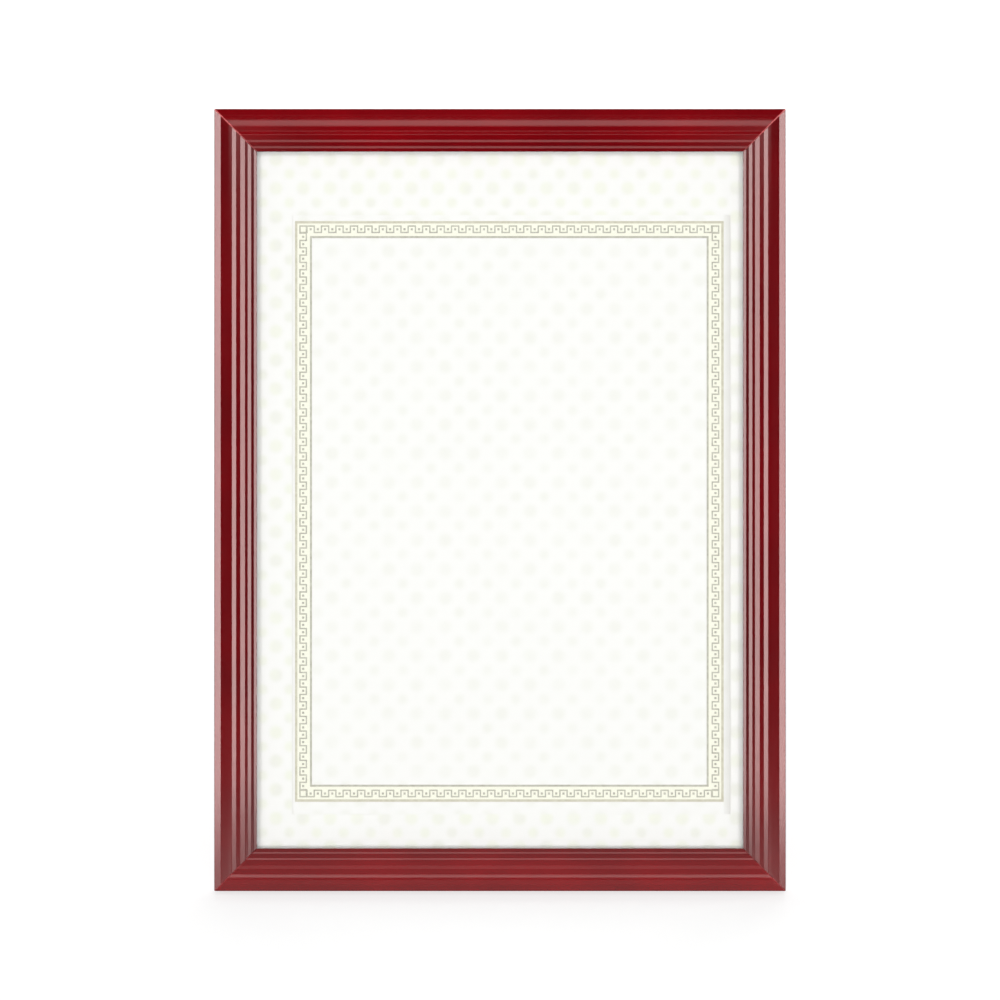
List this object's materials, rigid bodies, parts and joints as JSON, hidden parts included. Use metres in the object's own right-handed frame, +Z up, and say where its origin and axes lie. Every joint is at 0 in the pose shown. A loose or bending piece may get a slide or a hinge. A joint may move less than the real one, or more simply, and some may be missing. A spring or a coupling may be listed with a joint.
{
  "type": "picture frame",
  "caption": "Upright glazed certificate frame with a stepped glossy red moulding, hardboard back, turn buttons, a hanging ring and a hinged easel leg that stands it leaning on a table.",
  "frame": {"origin": "middle of the bounding box in X and Y, on the table at Z = 0, under the leaning frame", "axes": "+Z up from the table, -Y the way the picture faces, +X to the right of someone who looks at the picture"},
  "size_m": [0.236, 0.0962, 0.3161],
  "materials": {
    "lacquered_moulding": "high gloss deep red",
    "pane_glass": "clear float glass",
    "certificate_paper": "smooth white card with a pale printed border",
    "dotted_paper": "white paper with faint pale dots",
    "hardboard": "smooth brown hardboard",
    "zinc_plate": "bright zinc plated sheet",
    "plain_steel": "bright drawn steel"
  },
  "bodies": {
    "frame": {"top_rail": "lacquered_moulding", "bottom_rail": "lacquered_moulding", "left_stile": "lacquered_moulding", "right_stile": "lacquered_moulding", "v_nail_top_left_outer": "plain_steel", "v_nail_top_left_inner": "plain_steel", "v_nail_top_right_outer": "plain_steel", "v_nail_top_right_inner": "plain_steel", "v_nail_bottom_left_outer": "plain_steel", "v_nail_bottom_left_inner": "plain_steel", "v_nail_bottom_right_outer": "plain_steel", "v_nail_bottom_right_inner": "plain_steel", "glass_pane": "pane_glass", "certificate_sheet": "certificate_paper", "dotted_sheet": "dotted_paper", "back_panel": "hardboard", "hinge_fixed_leaf": "zinc_plate", "hinge_pin": "plain_steel", "panel_rivet_left": "plain_steel", "panel_rivet_right": "plain_steel", "hanger_strap": "zinc_plate", "strap_rivet": "plain_steel", "button_screw_top_left": "plain_steel", "button_screw_top_right": "plain_steel", "button_screw_right_upper": "plain_steel", "button_screw_right_lower": "plain_steel", "button_screw_bottom_right": "plain_steel", "button_screw_bottom_left": "plain_steel", "button_screw_left_lower": "plain_steel", "button_screw_left_upper": "plain_steel"},
    "leg": {"easel_leg": "hardboard", "hinge_moving_leaf": "zinc_plate", "leg_rivet_left": "plain_steel", "leg_rivet_right": "plain_steel"},
    "ring": {"hanging_ring": "zinc_plate"},
    "button_top_left": {"turn_button_top_left": "zinc_plate"},
    "button_top_right": {"turn_button_top_right": "zinc_plate"},
    "button_right_upper": {"turn_button_right_upper": "zinc_plate"},
    "button_right_lower": {"turn_button_right_lower": "zinc_plate"},
    "button_bottom_right": {"turn_button_bottom_right": "zinc_plate"},
    "button_bottom_left": {"turn_button_bottom_left": "zinc_plate"},
    "button_left_lower": {"turn_button_left_lower": "zinc_plate"},
    "button_left_upper": {"turn_button_left_upper": "zinc_plate"}
  },
  "joints": [
    {"name": "leg_hinge", "type": "hinge", "parent": "frame", "child": "leg", "pos_m": [0, 0.0157, 0.19831], "axis": [1, 0, 0], "range_deg": [-23, 0]},
    {"name": "ring_swing", "type": "hinge", "parent": "frame", "child": "ring", "pos_m": [0, 0.03786, 0.2876], "axis": [1, 0, 0], "range_deg": [-9, 168]},
    {"name": "top_left_turn", "type": "hinge", "parent": "frame", "child": "button_top_left", "pos_m": [-0.07, 0.04037, 0.30758], "axis": [0, 0.9703, -0.2419], "range_deg": [-90, 90]},
    {"name": "top_right_turn", "type": "hinge", "parent": "frame", "child": "button_top_right", "pos_m": [0.07, 0.04037, 0.30758], "axis": [0, 0.9703, -0.2419], "range_deg": [-90, 90]},
    {"name": "right_upper_turn", "type": "hinge", "parent": "frame", "child": "button_right_upper", "pos_m": [0.112, 0.02573, 0.24888], "axis": [0, 0.9703, -0.2419], "range_deg": [-90, 90]},
    {"name": "right_lower_turn", "type": "hinge", "parent": "frame", "child": "button_right_lower", "pos_m": [0.112, -0.02023, 0.06452], "axis": [0, 0.9703, -0.2419], "range_deg": [-90, 90]},
    {"name": "bottom_right_turn", "type": "hinge", "parent": "frame", "child": "button_bottom_right", "pos_m": [0.07, -0.03487, 0.00582], "axis": [0, 0.9703, -0.2419], "range_deg": [-90, 90]},
    {"name": "bottom_left_turn", "type": "hinge", "parent": "frame", "child": "button_bottom_left", "pos_m": [-0.07, -0.03487, 0.00582], "axis": [0, 0.9703, -0.2419], "range_deg": [-90, 90]},
    {"name": "left_lower_turn", "type": "hinge", "parent": "frame", "child": "button_left_lower", "pos_m": [-0.112, -0.02023, 0.06452], "axis": [0, 0.9703, -0.2419], "range_deg": [-90, 90]},
    {"name": "left_upper_turn", "type": "hinge", "parent": "frame", "child": "button_left_upper", "pos_m": [-0.112, 0.02573, 0.24888], "axis": [0, 0.9703, -0.2419], "range_deg": [-90, 90]}
  ]
}
